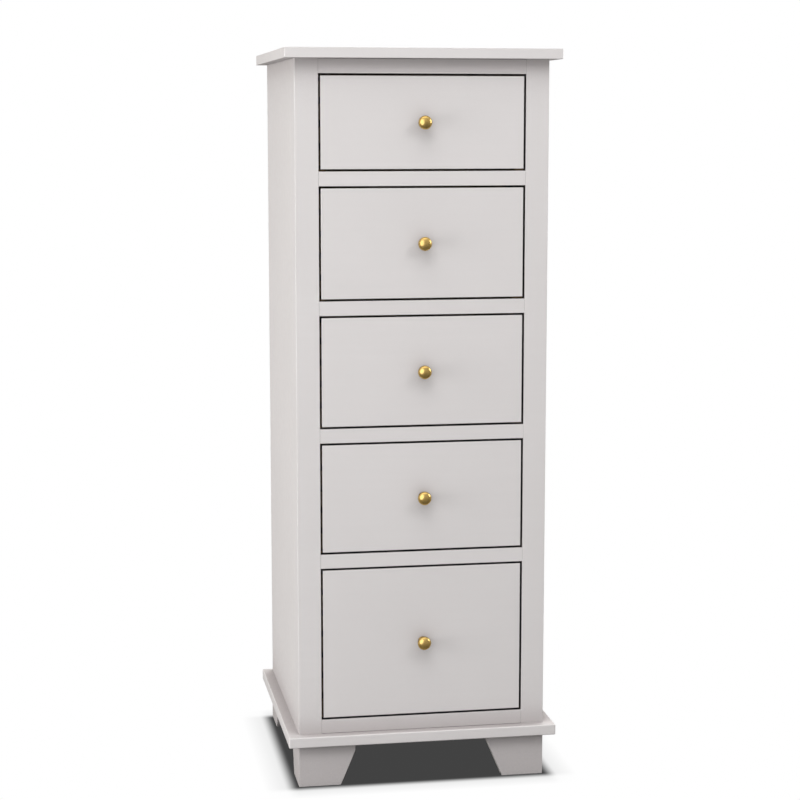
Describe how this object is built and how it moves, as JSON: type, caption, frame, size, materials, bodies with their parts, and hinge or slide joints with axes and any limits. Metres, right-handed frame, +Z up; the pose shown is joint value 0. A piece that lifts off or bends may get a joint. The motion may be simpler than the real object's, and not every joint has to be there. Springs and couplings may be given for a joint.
{
  "type": "tall chest of drawers",
  "caption": "Tall narrow painted chest with inset drawers that slide out, round brass knobs, an overhanging top and base board, and slanted bracket feet.",
  "frame": {"origin": "on the floor, at the middle of the chest's outer box", "axes": "+Z up, -Y out of the drawer fronts, +X to the right of someone facing the fronts"},
  "size_m": [0.5, 0.488, 1.3428],
  "materials": {
    "painted_wood": "satin",
    "drawer_wood": "matte",
    "runner_wood": "matte",
    "plywood": "matte",
    "brass": "polished",
    "screw_steel": "satin"
  },
  "bodies": {
    "carcass": {"back_panel": "plywood", "back_screws": "screw_steel", "base_board": "painted_wood", "base_screws": "screw_steel", "drawer_stops": "runner_wood", "foot_back_left": "painted_wood", "foot_back_right": "painted_wood", "foot_front_left": "painted_wood", "foot_front_right": "painted_wood", "kicker_left": "runner_wood", "kicker_right": "runner_wood", "rail_1_2": "painted_wood", "rail_2_3": "painted_wood", "rail_3_4": "painted_wood", "rail_4_5": "painted_wood", "rail_bottom": "painted_wood", "rail_top": "painted_wood", "runners_left": "runner_wood", "runners_right": "runner_wood", "side_panel_left": "painted_wood", "side_panel_right": "painted_wood", "stile_left": "painted_wood", "stile_right": "painted_wood", "top_board": "painted_wood", "top_screws": "screw_steel"},
    "drawer_1": {"drawer_1_back": "drawer_wood", "drawer_1_bottom": "plywood", "drawer_1_front": "painted_wood", "drawer_1_knob": "brass", "drawer_1_knob_screw": "screw_steel", "drawer_1_side_left": "drawer_wood", "drawer_1_side_right": "drawer_wood"},
    "drawer_2": {"drawer_2_back": "drawer_wood", "drawer_2_bottom": "plywood", "drawer_2_front": "painted_wood", "drawer_2_knob": "brass", "drawer_2_knob_screw": "screw_steel", "drawer_2_side_left": "drawer_wood", "drawer_2_side_right": "drawer_wood"},
    "drawer_3": {"drawer_3_back": "drawer_wood", "drawer_3_bottom": "plywood", "drawer_3_front": "painted_wood", "drawer_3_knob": "brass", "drawer_3_knob_screw": "screw_steel", "drawer_3_side_left": "drawer_wood", "drawer_3_side_right": "drawer_wood"},
    "drawer_4": {"drawer_4_back": "drawer_wood", "drawer_4_bottom": "plywood", "drawer_4_front": "painted_wood", "drawer_4_knob": "brass", "drawer_4_knob_screw": "screw_steel", "drawer_4_side_left": "drawer_wood", "drawer_4_side_right": "drawer_wood"},
    "drawer_5": {"drawer_5_back": "drawer_wood", "drawer_5_bottom": "plywood", "drawer_5_front": "painted_wood", "drawer_5_knob": "brass", "drawer_5_knob_screw": "screw_steel", "drawer_5_side_left": "drawer_wood", "drawer_5_side_right": "drawer_wood"}
  },
  "joints": [
    {"name": "drawer_1_slide", "type": "slide", "parent": "carcass", "child": "drawer_1", "axis": [0, -1, 0], "range_m": [0, 0.3]},
    {"name": "drawer_2_slide", "type": "slide", "parent": "carcass", "child": "drawer_2", "axis": [0, -1, 0], "range_m": [0, 0.3]},
    {"name": "drawer_3_slide", "type": "slide", "parent": "carcass", "child": "drawer_3", "axis": [0, -1, 0], "range_m": [0, 0.3]},
    {"name": "drawer_4_slide", "type": "slide", "parent": "carcass", "child": "drawer_4", "axis": [0, -1, 0], "range_m": [0, 0.3]},
    {"name": "drawer_5_slide", "type": "slide", "parent": "carcass", "child": "drawer_5", "axis": [0, -1, 0], "range_m": [0, 0.3]}
  ]
}
